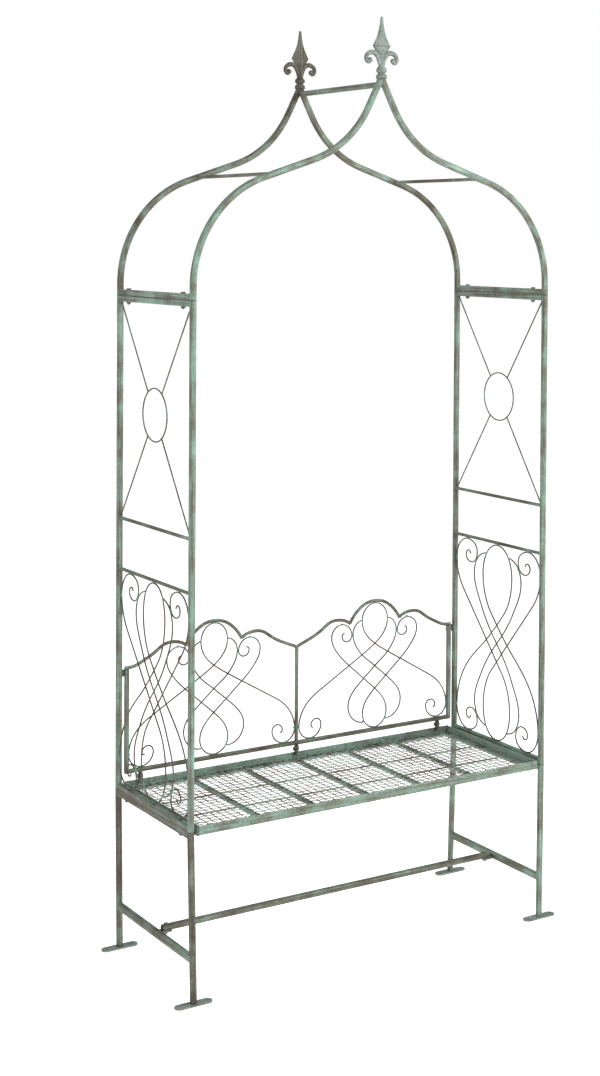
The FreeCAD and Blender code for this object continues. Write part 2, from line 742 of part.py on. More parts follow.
def make_finial():
    rings = [diamond(finial_z(share), width, thick) for share, width, thick in finial_spear]
    spear = Part.makeLoft(rings, True, True)
    neck = cylinder(Vec(0, 0, finial_seat_z), Vec(0, 0, finial_z(finial_neck_top)), finial_neck_r)
    solid = spear.fuse(neck)
    above_seat = box(-post_d, post_d, -post_d, post_d, finial_seat_z, overall_height)
    for share in finial_beads:
        bead = Part.makeTorus(finial_neck_r, finial_bead_r, Vec(0, 0, finial_z(share)), Vec(0, 0, 1))
        solid = solid.fuse(bead.common(above_seat))
    leaf = [(x, share * finial_height, heading) for x, share, heading in finial_leaf]
    place = lambda point: Vec(point[0], 0, finial_seat_z + point[1])
    right = bent_rod(leaf, place, finial_leaf_r)
    tip = Part.makeSphere(finial_leaf_r, place(leaf[-1][:2]))
    solid = solid.fuse([right, mirror_x(right), tip, mirror_x(tip)])
    for name, y in (("finial_front", -post_y), ("finial_back", post_y)):
        placed = solid.copy()
        placed.translate(Vec(0, y, 0))
        save(name, placed)


make_legs()
stretcher_bolts, stretcher_nuts = make_stretcher()
make_side_frame()
joint_bolts, joint_nuts = frame_bolts()
make_seat()
seat_bolts, seat_nuts = make_seat_brackets()
make_backrest()
hinge_pins, hinge_nuts = back_tabs_and_pins()
back_corner_plates()
make_arch()
make_finial()
joint_bolts += [mirror_x(part) for part in joint_bolts]
joint_nuts += [mirror_x(part) for part in joint_nuts]
save("frame_bolts", joint_bolts)
save("seat_bolts", seat_bolts)
save("hinge_pins", hinge_pins)
save("stretcher_bolts", stretcher_bolts)
save("hex_nuts", joint_nuts + seat_nuts + hinge_nuts + stretcher_nuts)
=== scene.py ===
import math
import random
import bpy
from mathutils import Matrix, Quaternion, Vector


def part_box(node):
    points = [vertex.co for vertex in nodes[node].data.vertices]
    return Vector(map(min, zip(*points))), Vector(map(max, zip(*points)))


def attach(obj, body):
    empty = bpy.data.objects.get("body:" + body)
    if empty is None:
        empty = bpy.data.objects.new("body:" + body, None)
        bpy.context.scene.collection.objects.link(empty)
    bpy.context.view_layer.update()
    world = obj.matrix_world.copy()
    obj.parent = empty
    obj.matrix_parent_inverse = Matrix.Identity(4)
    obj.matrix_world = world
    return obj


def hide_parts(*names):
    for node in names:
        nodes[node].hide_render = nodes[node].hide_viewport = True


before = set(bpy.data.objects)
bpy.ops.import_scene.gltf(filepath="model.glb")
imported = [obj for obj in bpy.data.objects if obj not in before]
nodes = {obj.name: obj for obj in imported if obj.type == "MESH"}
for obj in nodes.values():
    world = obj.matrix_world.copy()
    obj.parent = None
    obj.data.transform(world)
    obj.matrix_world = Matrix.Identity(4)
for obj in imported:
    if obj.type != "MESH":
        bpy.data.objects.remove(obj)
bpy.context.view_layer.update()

mm = 0.001
random.seed(7)
bpy.ops.object.select_all(action="DESELECT")


# Small helpers

def linearColour(hexCode):
    channels = [int(hexCode[i:i + 2], 16) / 255 for i in (1, 3, 5)]
    return [c / 12.92 if c < 0.04045 else ((c + 0.055) / 1.055) ** 2.4 for c in channels] + [1]


def addNode(tree, kind, links=None, **settings):
    node = tree.nodes.new(kind)
    for name, value in settings.items():
        setattr(node, name, value)
    for socket, source in (links or {}).items():
        if isinstance(source, bpy.types.NodeSocket):
            tree.links.new(source, node.inputs[socket])
        else:
            node.inputs[socket].default_value = source
    return node


def fillRamp(node, stops):
    ramp = node.color_ramp
    while len(ramp.elements) < len(stops):
        ramp.elements.new(0.5)
    for element, (place, colour) in zip(ramp.elements, stops):
        element.position = place
        element.color = linearColour(colour)


def lowHigh(name):
    return [Vector(corner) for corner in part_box(name)]


def settle(piece):
    # Puts the object's place into its mesh, as a CAD node has it.
    bpy.ops.object.select_all(action="DESELECT")
    piece.select_set(True)
    bpy.context.view_layer.objects.active = piece
    bpy.ops.object.transform_apply(location=True, rotation=True, scale=True)


def asMesh(curveData, name):
    # A drawn curve turned into a mesh object.
    drawn = bpy.data.objects.new(name, curveData)
    bpy.context.collection.objects.link(drawn)
    bpy.ops.object.select_all(action="DESELECT")
    drawn.select_set(True)
    bpy.context.view_layer.objects.active = drawn
    bpy.ops.object.convert(target="MESH")
    piece = bpy.context.object
    piece.name = name
    bpy.ops.object.mode_set(mode="EDIT")
    bpy.ops.mesh.select_all(action="SELECT")
    bpy.ops.mesh.normals_make_consistent(inside=False)
    bpy.ops.object.mode_set(mode="OBJECT")
    return piece


def joined(pieces, name):
    bpy.ops.object.select_all(action="DESELECT")
    for piece in pieces:
        piece.select_set(True)
    bpy.context.view_layer.objects.active = pieces[0]
    if len(pieces) > 1:
        bpy.ops.object.join()
    pieces[0].name = name
    return pieces[0]


def smooth(piece, degrees):
    bpy.ops.object.select_all(action="DESELECT")
    piece.select_set(True)
    bpy.context.view_layer.objects.active = piece
    bpy.ops.object.shade_smooth_by_angle(angle=math.radians(degrees))


def handOver(piece, slotName, material, *standsFor):
    piece.data.materials.clear()
    piece.data.materials.append(material)
    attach(piece, "root")
    if standsFor:
        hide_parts(*standsFor)


# Sprayed verdigris on welded steel: olive brown undercoat, then green and grey paint rubbed
# along the tubes, so the colours lie in soft streaks. Matt, with a fine sprayed grain.
# The specks are drawn coarser than real spray so that they show
patina = {
    "streakWidth": 4.4 * mm,
    "streakLength": 150 * mm,
    "patchLength": 68.18 * mm,
    "speckSize": 3.8 * mm,
    "rustSpacing": 21.74 * mm,
    "streakShare": 0.36,
    "patchShare": 0.30,
    "speckShare": 0.22,
    "lift": 0.048,
    "darkBrown": "#3f392d",
    "brown": "#575345",
    "olive": "#6a7062",
    "green": "#738b7d",
    "brightGreen": "#7fa392",
    "grey": "#9aa095",
    "palest": "#b6c2b6",
    "greyValue": 0.78,
    "rust": "#5f4a3b",
    "roughness": 0.58,
    "grain": 0.4 * mm,
    "seamSpread": 3 * mm,
    "creaseShare": 0.525,
    "creaseSpread": 1.4 * mm,
    # paintedTopLight: how much lighter upward faces are painted than downward ones, painted light
    # from above
    "paintedTopLight": 0.045,
}


# wearAndShade lowers the whole colour level of a copy of this paint (negative values raise it). On
# the left and back parts it darkens the copy as painted shade; on the seat frame it lightens the
# copy as painted light.
def verdigris(name, along="Z", wearAndShade=0.0, jointHeights=(), ends=None, speckled=0.0, tint=1.0):
    material = bpy.data.materials.new(name)
    material.use_nodes = True
    tree = material.node_tree
    tree.nodes.clear()
    size = patina
    coords = addNode(tree, "ShaderNodeTexCoord").outputs["Object"]
    split = addNode(tree, "ShaderNodeSeparateXYZ", {0: coords})
    wide, long = 1 / size["streakWidth"], 1 / size["streakLength"]
    stretch = {"X": (long, wide, wide), "Y": (wide, long, wide), "Z": (wide, wide, long),
               "XZ": (wide * 0.09, wide, wide * 0.09), "any": (wide * 0.4,) * 3}[along]
    streakSpace = addNode(tree, "ShaderNodeMapping", {"Vector": coords, "Scale": stretch})
    streaks = addNode(tree, "ShaderNodeTexNoise",
                      {"Vector": streakSpace.outputs[0], "Scale": 1.0, "Detail": 3.0,
                       "Roughness": 0.5, "Distortion": 0.4})
    patches = addNode(tree, "ShaderNodeTexNoise",
                      {"Vector": coords, "Scale": 1 / size["patchLength"], "Detail": 3.0,
                       "Roughness": 0.6})
    specks = addNode(tree, "ShaderNodeTexNoise",
                     {"Vector": coords, "Scale": 1 / size["speckSize"], "Detail": 3.0,
                      "Roughness": 0.7})
    level = addNode(tree, "ShaderNodeMath",
                    {0: streaks.outputs[0], 1: size["streakShare"] - speckled,
                     2: size["lift"] - wearAndShade}, operation="MULTIPLY_ADD")
    level = addNode(tree, "ShaderNodeMath",
                    {0: patches.outputs[0], 1: size["patchShare"], 2: level.outputs[0]},
                    operation="MULTIPLY_ADD")
    level = addNode(tree, "ShaderNodeMath",
                    {0: specks.outputs[0], 1: size["speckShare"] + speckled,
                     2: level.outputs[0]}, operation="MULTIPLY_ADD")
    # Upward-facing surfaces are lighter and downward-facing ones darker: painted light from above
    normal = addNode(tree, "ShaderNodeTexCoord").outputs["Normal"]
    facing = addNode(tree, "ShaderNodeSeparateXYZ", {0: normal})
    level = addNode(tree, "ShaderNodeMath",
                    {0: facing.outputs["Z"], 1: size["paintedTopLight"], 2: level.outputs[0]},
                    operation="MULTIPLY_ADD")
    value = level.outputs[0]
    # On the seat rails this band makes the top 2 mm of the rim lighter than the rail below it: a
    # painted highlight along the top edge.
    if ends:
        axis, start, finish, gain = ends
        reach = addNode(tree, "ShaderNodeMath", {0: split.outputs[axis]}, operation="ABSOLUTE")
        toEnd = addNode(tree, "ShaderNodeMapRange",
                        {"Value": reach.outputs[0], "From Min": start, "From Max": finish,
                         "To Min": -gain, "To Max": gain}, interpolation_type="SMOOTHSTEP")
        value = addNode(tree, "ShaderNodeMath", {0: value, 1: toEnd.outputs[0]},
                        operation="ADD").outputs[0]
    ramp = addNode(tree, "ShaderNodeValToRGB", {"Fac": value})
    fillRamp(ramp, [(0.36, size["darkBrown"]), (0.42, size["brown"]), (0.47, size["olive"]),
                    (0.52, size["green"]), (0.565, size["brightGreen"]), (0.61, size["grey"]),
                    (0.67, size["palest"])])
    colour = ramp.outputs["Color"]
    if tint != 1.0:  # cast iron and feet took the paint duller and greyer
        colour = addNode(tree, "ShaderNodeHueSaturation",
                         {"Saturation": tint, "Value": size["greyValue"],
                          "Color": colour}).outputs[0]
    rustSpace = addNode(tree, "ShaderNodeMapping", {"Vector": coords, "Location": (3.1, 1.7, 0.4)})
    rustSpots = addNode(tree, "ShaderNodeTexNoise",
                        {"Vector": rustSpace.outputs[0], "Scale": 1 / size["rustSpacing"],
                         "Detail": 5.0, "Roughness": 0.65})
    rustMask = addNode(tree, "ShaderNodeMapRange",
                       {"Value": rustSpots.outputs[0], "From Min": 0.60, "From Max": 0.70,
                        "To Min": 0.0, "To Max": 0.55}).outputs[0]
    colour = addNode(tree, "ShaderNodeMix",
                     {"Factor": rustMask, 6: colour, 7: linearColour(size["rust"])},
                     data_type="RGBA").outputs[2]
    for height, spread in jointHeights:
        away = addNode(tree, "ShaderNodeMath", {0: split.outputs["Z"], 1: -height}, operation="ADD")
        away = addNode(tree, "ShaderNodeMath", {0: away.outputs[0]}, operation="ABSOLUTE")
        near = addNode(tree, "ShaderNodeMapRange",
                       {"Value": away.outputs[0], "From Min": spread * 0.15, "From Max": spread,
                        "To Min": 0.85, "To Max": 0.0}, interpolation_type="SMOOTHSTEP")
        colour = addNode(tree, "ShaderNodeMix",
                         {"Factor": near.outputs[0], 6: colour, 7: linearColour(size["darkBrown"])},
                         data_type="RGBA").outputs[2]
    bump = addNode(tree, "ShaderNodeBump",
                   {"Height": specks.outputs[0], "Strength": 0.5, "Distance": size["grain"]})
    shader = addNode(tree, "ShaderNodeBsdfPrincipled",
                     {"Base Color": colour, "Roughness": size["roughness"],
                      "Normal": bump.outputs[0]})
    addNode(tree, "ShaderNodeOutputMaterial", {"Surface": shader.outputs[0]})
    return material


def paintNode(name, material):
    mesh = nodes[name].data
    mesh.materials.clear()
    mesh.materials.append(material)


seatJoint = lowHigh("leg_top_rail_right")[1].z
archJoint = lowHigh("arch_base_rail_right")[0].z
postY = (lowHigh("side_post_back_right")[0].y + lowHigh("side_post_back_right")[1].y) / 2
postX = (lowHigh("side_post_back_right")[0].x + lowHigh("side_post_back_right")[1].x) / 2
postR = (lowHigh("side_post_back_right")[1].y - lowHigh("side_post_back_right")[0].y) / 2
rodR = 4.5 * mm  # side rod radius, as in the CAD

seams = [(seatJoint, patina["seamSpread"]), (archJoint, patina["seamSpread"])]
seatTop = lowHigh("seat_front_rail")[1].z
uprightPaint = verdigris("sprayed verdigris on posts", "Z", jointHeights=seams)
# The back posts get a slightly darker copy of the post paint: painted shade.
backPaint = verdigris("sprayed verdigris on back posts", "Z", wearAndShade=0.014, jointHeights=seams)
legPaint = verdigris("sprayed verdigris on legs", "Z", wearAndShade=0.012, jointHeights=seams)
# The left legs get a darker copy of the leg paint: painted shade on the side away from the key
# light.
shadedLeftLegPaint = verdigris("verdigris on left legs darkened as painted shade", "Z", wearAndShade=0.085, speckled=0.06,
                         jointHeights=seams)
crossPaint = verdigris("sprayed verdigris on cross rails", "Y", wearAndShade=0.012, jointHeights=seams)
# The left rails get a darker copy of the rail paint: painted shade on the side away from the key
# light.
shadedLeftRailPaint = verdigris("verdigris on left rails darkened as painted shade", "Y", wearAndShade=0.055, jointHeights=seams)
longPaint = verdigris("sprayed verdigris on stretcher", "X", wearAndShade=0.055, speckled=0.06)
# The top 2 mm of the seat rails are painted lighter than the rest: a painted highlight along the
# rim.
rim = (2, seatTop - 2.5 * mm, seatTop - 0.5 * mm)
frontPaint = verdigris("smooth verdigris on seat front", "X", wearAndShade=-0.026, speckled=0.1,
                       ends=(*rim, 0.024))
# The seat frame, flat bar and seat end copies are lightened so that the shaded lip faces, flange and
# end rails read pale: painted light.
seatPaint = verdigris("speckled verdigris on seat frame", "X", wearAndShade=-0.046, speckled=0.2,
                      ends=(*rim, 0.012))
slatPaint = verdigris("speckled verdigris on flat bars", "Y", wearAndShade=-0.050, speckled=0.2)
litSeatEndPaint = verdigris("verdigris on seat ends lightened as painted light", "Y", wearAndShade=-0.085, speckled=0.2)
footPaint = verdigris("pale verdigris on feet", "X", wearAndShade=-0.040, speckled=0.16, tint=0.6)
hoopPaint = verdigris("sprayed verdigris on hoops", "XZ", wearAndShade=-0.008, jointHeights=seams[1:])
# The back hoops get a darker copy of the hoop paint: painted shade.
shadedBackHoopPaint = verdigris("verdigris on back hoops darkened as painted shade", "XZ", wearAndShade=0.042,
                          jointHeights=seams[1:])
rodPaint = verdigris("rubbed verdigris on rods", "Y", wearAndShade=0.035, ends=(1, 80 * mm, 185 * mm, 0.035))
crestPaint = verdigris("rubbed verdigris on backrest", "X", wearAndShade=0.060, speckled=0.1)
wireRingPaint = verdigris("thin verdigris on bent wire", "any", wearAndShade=0.05, speckled=0.16)
smallPaint = verdigris("speckled verdigris on small parts", "any", wearAndShade=0.035, speckled=0.2)
underPaint = verdigris("brown primed round bar", "any", wearAndShade=0.10)
finialLow, finialHigh = lowHigh("finial_front")
equator = [(finialLow.z + patina["creaseShare"] * (finialHigh.z - finialLow.z),
            patina["creaseSpread"])]
castPaint = verdigris("sprayed verdigris on cast iron", "Z", wearAndShade=-0.050, speckled=0.16, tint=0.55,
                      jointHeights=equator)
# The back finial gets a darker copy of the cast iron paint: painted shade.
shadedCastPaint = verdigris("verdigris on back cast iron darkened as painted shade", "Z", wearAndShade=0.088, speckled=0.12,
                            jointHeights=equator)
nodePaint = [
    (("side_post_back", "back_upright"), backPaint),
    (("side_post",), uprightPaint),
    (("leg_front_left", "leg_back_left"), shadedLeftLegPaint),
    (("leg_front", "leg_back"), legPaint),
    (("arch_tube_back",), shadedBackHoopPaint),
    (("arch_tube",), hoopPaint),
    (("foot_",), footPaint),
    (("back_crest", "back_bottom"), crestPaint),
    (("side_rings", "side_braces"), wireRingPaint),
    (("seat_front",), frontPaint),
    (("seat_back",), seatPaint),
    (("seat_end",), litSeatEndPaint),
    (("seat_rods",), underPaint),
    (("seat_slats",), slatPaint),
    (("stretcher_",), smallPaint),
    (("stretcher",), longPaint),
    (("side_rods", "arch_rods"), rodPaint),
    (("leg_top_rail_left", "leg_cross_rail_left", "side_bottom_rail_left"), shadedLeftRailPaint),
    (("leg_", "side_bottom", "side_top", "arch_base", "ridge_bar"), crossPaint),
]
for name in nodes:
    kind = next((paint for starts, paint in nodePaint if name.startswith(starts)), smallPaint)
    paintNode(name, kind)
print("materials on", len(nodes), "CAD nodes")


# Scroll wire: 4 mm drawn wire, left brown where the brush missed it and green at every weld
scrollWire = {
    "diameter": 4.0 * mm,
    "layer": 2.05 * mm,
    "steps": 9,
    "weldReach": 16 * mm,
    "backDrop": 173 * mm,
    "driftLength": 45.45 * mm,
    "grainSize": 1.111 * mm,
    "grain": 0.2 * mm,
    "bare": "#4f453d",
    "bareDark": "#352e26",
    "film": "#5f625b",
    "paint": "#628677",
    "roughness": 0.5,
}


def wirePaint(name):
    material = bpy.data.materials.new(name)
    material.use_nodes = True
    tree = material.node_tree
    tree.nodes.clear()
    size = scrollWire
    coords = addNode(tree, "ShaderNodeTexCoord").outputs["Object"]
    drift = addNode(tree, "ShaderNodeTexNoise",
                    {"Vector": coords, "Scale": 1 / size["driftLength"], "Detail": 3.0,
                     "Roughness": 0.55})
    ramp = addNode(tree, "ShaderNodeValToRGB", {"Fac": drift.outputs[0]})
    fillRamp(ramp, [(0.38, size["bareDark"]), (0.47, size["bare"]), (0.56, size["bare"]),
                    (0.64, size["film"])])
    weld = addNode(tree, "ShaderNodeAttribute", attribute_name="weldPaint")
    edge = addNode(tree, "ShaderNodeMath", {0: drift.outputs[0], 1: 0.9, 2: weld.outputs["Fac"]},
                   operation="MULTIPLY_ADD")
    mask = addNode(tree, "ShaderNodeMapRange",
                   {"Value": edge.outputs[0], "From Min": 0.62, "From Max": 1.05})
    colour = addNode(tree, "ShaderNodeMix",
                     {"Factor": mask.outputs[0], 6: ramp.outputs["Color"],
                      7: linearColour(size["paint"])}, data_type="RGBA").outputs[2]
    grain = addNode(tree, "ShaderNodeTexNoise",
                    {"Vector": coords, "Scale": 1 / size["grainSize"], "Detail": 2.0,
                     "Roughness": 0.7})
    bump = addNode(tree, "ShaderNodeBump",
                   {"Height": grain.outputs[0], "Strength": 0.4, "Distance": size["grain"]})
    shader = addNode(tree, "ShaderNodeBsdfPrincipled",
                     {"Base Color": colour, "Roughness": size["roughness"],
                      "Normal": bump.outputs[0]})
    addNode(tree, "ShaderNodeOutputMaterial", {"Surface": shader.outputs[0]})
    return material


def tintWelds(piece, spots, reach):
    # Writes how close each point is to a weld, from 1 at the weld to 0 at the reach.
    levels = piece.data.attributes.new("weldPaint", "FLOAT", "POINT")
    for index, vertex in enumerate(piece.data.vertices):
        nearest = min((vertex.co - spot).length for spot in spots)
        levels.data[index].value = max(0.0, 1.0 - nearest / reach)


def handle(start, heading, finish, headingAfter):
    # How far a curve handle reaches so that the bend is close to a round arc.
    turn = abs((headingAfter - heading + 180) % 360 - 180)
    half = math.radians(max(turn, 4.0)) / 2
    reach = 4 / 3 * math.tan(half / 2) / (2 * math.sin(half))
    return reach * math.dist(start, finish)


def bendWire(drawing, stations, offsets, place):
    # Adds one bent wire through (across, up, heading) stations, each with its layer offset.
    wire = drawing.splines.new("BEZIER")
    wire.bezier_points.add(len(stations) - 1)
    wire.resolution_u = scrollWire["steps"]
    for index, ((x, z, heading), offset) in enumerate(zip(stations, offsets)):
        point = wire.bezier_points[index]
        ahead = (math.cos(math.radians(heading)), math.sin(math.radians(heading)))
        point.handle_left_type = point.handle_right_type = "FREE"
        point.co = place(x, z, offset)
        back = forth = 1 * mm
        if index:
            x0, z0, heading0 = stations[index - 1]
            back = handle((x0, z0), heading0, (x, z), heading)
        if index < len(stations) - 1:
            x1, z1, heading1 = stations[index + 1]
            forth = handle((x, z), heading, (x1, z1), heading1)
        point.handle_left = place(x - ahead[0] * back, z - ahead[1] * back, offset)
        point.handle_right = place(x + ahead[0] * forth, z + ahead[1] * forth, offset)


def wholeWire(half, side):
    # A wire from one curl over its loop to the other curl, with its offsets.
    back = [(-x, z, -heading) for x, z, heading in reversed(half[:-1])]
    offset = scrollWire["layer"] * side
    offsets = [offset] * (len(half) - 1) + [0.0] + [-offset] * (len(half) - 1)
    return half + back, offsets


def scrollPanel(name, low, high, link, place, welds, standsFor):
    drawing = bpy.data.curves.new(name, "CURVE")
    drawing.dimensions = "3D"
    drawing.bevel_depth = scrollWire["diameter"] / 2
    drawing.bevel_resolution = 2
    drawing.use_fill_caps = True
    scaled = [[(x * mm, z * mm, heading) for x, z, heading in half] for half in (low, high, link)]
    for half, side in ((scaled[0], 1), (scaled[1], -1)):
        stations, offsets = wholeWire(half, side)
        bendWire(drawing, stations, offsets, place)
    other = [(-x, z, 180 - heading) for x, z, heading in scaled[2]]
    for stations, side in ((scaled[2], -1), (other, 1)):
        bendWire(drawing, stations, [side * scrollWire["layer"]] * len(stations), place)
    piece = asMesh(drawing, name)
    smooth(piece, 50)
    spots = [place(x * mm, z * mm, 0.0) for x, z in welds]
    tintWelds(piece, spots, scrollWire["weldReach"])
    handOver(piece, "scroll_wire", wireFinish, standsFor)
    return spots


# Side panel wires as (across, up, heading), in mm from the middle of the panel
sideLow = [(122, -231, -80), (131, -240, 0), (143, -227, 90), (118, -208, 180), (91, -240, -90),
           (136, -272.25, 0), (188, -212, 90), (133, -76, 132), (49, 1, 136), (-26, 81, 131),
           (-63, 188, 90), (0, 272.25, 0)]
sideHigh = [(122, 231, 80), (131, 240, 0), (143, 227, -90), (118, 208, 180), (91, 240, 90),
            (136, 272.25, 0), (188, 212, -90), (152, 124, -131), (-26, -81, -131),
            (-63, -188, -90), (0, -272.25, 0)]
sideLink = [(53, 243.4, -14), (90.2, 222.5, -54.5), (104, 180, -90), (68, 90, -118), (0, 0, -133),
            (-68, -90, -118), (-104, -180, -90), (-90.2, -222.5, -54.5), (-53, -243.4, -14)]
sideWelds = [(0, 272), (136, 274), (188, 212), (94, 219), (52, 243)]
# Backrest panel wires, from the middle of one half
backLow = [(202, -145, 0), (209, -138, 90), (193, -122, 180), (177, -138, -90), (212.5, -173, 0),
           (247.5, -138, 90), (222, -76, 132), (165, -36, 149.5), (34.5, 40, 149), (-41, 128, 90),
           (0, 175.5, 0)]
backHigh = [(99, 100, 0), (107, 92, -90), (91, 76, 180), (75, 92, 90), (108, 125, 0),
            (141, 92, -90), (116, 41, -130), (86, 11, -139), (20, -46, -139), (-41, -130, -90),
            (0, -173, 0)]
backLink = [(45.1, 130, -16), (71, 94, -90), (44, 37, -130), (0, 0, -139), (-39, -33, -139),
            (-89, -104, -90), (-38.8, -154.3, 0)]
backWelds = [(212.5, -173), (-212.5, -173), (247, -138), (-247, -138), (0, 175.5), (0, -173),
             (108, 127), (-108, 127), (43, 130), (-43, 130), (-37, -153), (37, -153), (73, 93),
             (-73, 93)]

wireFinish = wirePaint("brown scroll wire with green at its welds")
weldSpots = []
corners = [(sx * x, sz * z) for x, z in sideWelds for sx in (1, -1) for sz in (1, -1)]
sideLowest, sideHighest = lowHigh("side_scroll_right")
sideMiddle = (sideLowest.z + sideHighest.z) / 2
for name, side in (("right", 1), ("left", -1)):
    place = lambda x, z, offset, side=side: Vector((side * (postX + offset), x, sideMiddle + z))
    weldSpots += scrollPanel("sideScrollWires" + name.title(), sideLow, sideHigh, sideLink, place,
                             corners, "side_scroll_" + name)
backLowest, backHighest = lowHigh("back_scroll_right")
backAcross = (backLowest.x + backHighest.x) / 2
backUp = backLowest.z + scrollWire["backDrop"] + scrollWire["diameter"] / 2
for name, side in (("right", 1), ("left", -1)):
    place = lambda x, z, offset, side=side: Vector((side * (backAcross + x), postY + offset,
                                                    backUp + z))
    weldSpots += scrollPanel("backScrollWires" + name.title(), backLow, backHigh, backLink, place,
                             backWelds, "back_scroll_" + name)
print("scroll wires with", len(weldSpots), "welds")


# Beads of weld metal: a drop at each wire contact and a rippled ring round each tube joint
beads = {
    "dropRadius": 2.6 * mm,
    "dropReach": 1.5,
    "ringThickness": 1.5 * mm,
    "ringPoints": 28,
    "legLeanX": 7 * mm,
    "legLeanY": 5 * mm,
    "ripple": 0.22,
    "squareBar": 8,
    "roundBar": 2,
}


def weldDrops(spots):
    bpy.ops.mesh.primitive_ico_sphere_add(subdivisions=2, radius=beads["dropRadius"])
    model = bpy.context.object
    bpy.ops.object.mode_set(mode="EDIT")
    bpy.ops.mesh.select_all(action="SELECT")
    bpy.ops.transform.resize(value=(1.0, beads["dropReach"], 0.85))
    bpy.ops.transform.vertex_random(offset=beads["dropRadius"] * 0.12, seed=3)
    bpy.ops.object.mode_set(mode="OBJECT")
    drops = []
    for spot in spots:
        drop = bpy.data.objects.new("drop", model.data.copy())
        bpy.context.collection.objects.link(drop)
        onSide = abs(abs(spot.x) - postX) < 5 * mm
        drop.rotation_euler = (random.uniform(-0.6, 0.6), 0, 0 if onSide else math.radians(90))
        drop.location = spot
        settle(drop)
        drops.append(drop)
    bpy.data.objects.remove(model)
    piece = joined(drops, "wireWeldDrops")
    smooth(piece, 60)
    handOver(piece, "scroll_wire", weldPaint)


def jointRing(drawing, centre, across, up, halfAcross, halfUp, squareness, tubeCentre, tubeRadius):
    # A closed bead round a bar where it meets a round tube whose axis stands up.
    ring = drawing.splines.new("POLY")
    count = beads["ringPoints"]
    ring.points.add(count - 1)
    ring.use_cyclic_u = True
    for index in range(count):
        angle = 2 * math.pi * index / count
        c, s = math.cos(angle), math.sin(angle)
        x = halfAcross * math.copysign(abs(c) ** (2 / squareness), c)
        z = halfUp * math.copysign(abs(s) ** (2 / squareness), s)
        point = centre + across * x + up * z
        off = math.sqrt(max(tubeRadius ** 2 - x * x, 0.0))
        toBar = (centre - tubeCentre).normalized()
        point += toBar * (off - (centre - tubeCentre).length)
        ring.points[index].co = (*point, 1)
        ring.points[index].radius = 1 + beads["ripple"] * math.sin(index * 2.4 + centre.z * 90)


def tubeWelds():
    drawing = bpy.data.curves.new("jointWeldBeads", "CURVE")
    drawing.dimensions = "3D"
    drawing.bevel_depth = beads["ringThickness"]
    drawing.bevel_resolution = 1
    acrossX, upZ = Vector((1, 0, 0)), Vector((0, 0, 1))
    rail = lowHigh("side_top_rail_right")
    halfRail = (rail[1].z - rail[0].z) / 2
    legBox = lowHigh("leg_front_right")
    rodBox = lowHigh("side_rods")
    lowRod, highRod = rodBox[0].z + rodR, rodBox[1].z - rodR
    squares = [lowHigh(kind + "_right")[0].z + halfRail
               for kind in ("leg_top_rail", "side_bottom_rail", "side_top_rail", "arch_base_rail")]
    crossZ = lowHigh("leg_cross_rail_right")[0].z + halfRail
    lean = (seatJoint - crossZ) / (seatJoint - legBox[0].z)
    legX = postX - lean * beads["legLeanX"]
    legY = postY + lean * beads["legLeanY"]
    for sx in (1, -1):
        for sy in (1, -1):
            for z in squares:
                post = Vector((sx * postX, sy * postY, z))
                jointRing(drawing, post - Vector((0, sy * postR, 0)), acrossX, upZ,
                          halfRail, halfRail, beads["squareBar"], post, postR)
            for z in (lowRod, highRod):
                post = Vector((sx * postX, sy * postY, z))
                jointRing(drawing, post - Vector((0, sy * postR, 0)), acrossX, upZ,
                          rodR, rodR, beads["roundBar"], post, postR)
            leg = Vector((sx * legX, sy * legY, crossZ))
            jointRing(drawing, leg - Vector((0, sy * postR, 0)), acrossX, upZ,
                      halfRail, halfRail, beads["squareBar"], leg, postR)
    piece = asMesh(drawing, "jointWeldBeads")
    smooth(piece, 60)
    handOver(piece, "frame", weldPaint)


weldPaint = verdigris("verdigris thick on weld metal", "any", wearAndShade=-0.01)
weldDrops(weldSpots)
tubeWelds()
print("weld beads")


# Seat mesh: 2.5 mm wires at 20 mm, crimped over and under each other, lying on the angle frame
seatMesh = {
    "wire": 2.5 * mm,
    "pitch": 20 * mm,
    "sway": 0.5 * mm,
    "stepsPerPitch": 4,
    "boltKeep": 7.5 * mm,
    "boltHeadHalf": 5.8 * mm,
    "driftLength": 62.5 * mm,
    "brown": "#736d60",
    "dark": "#554d42",
    "grey": "#979d93",
    "green": "#8ba698",
}


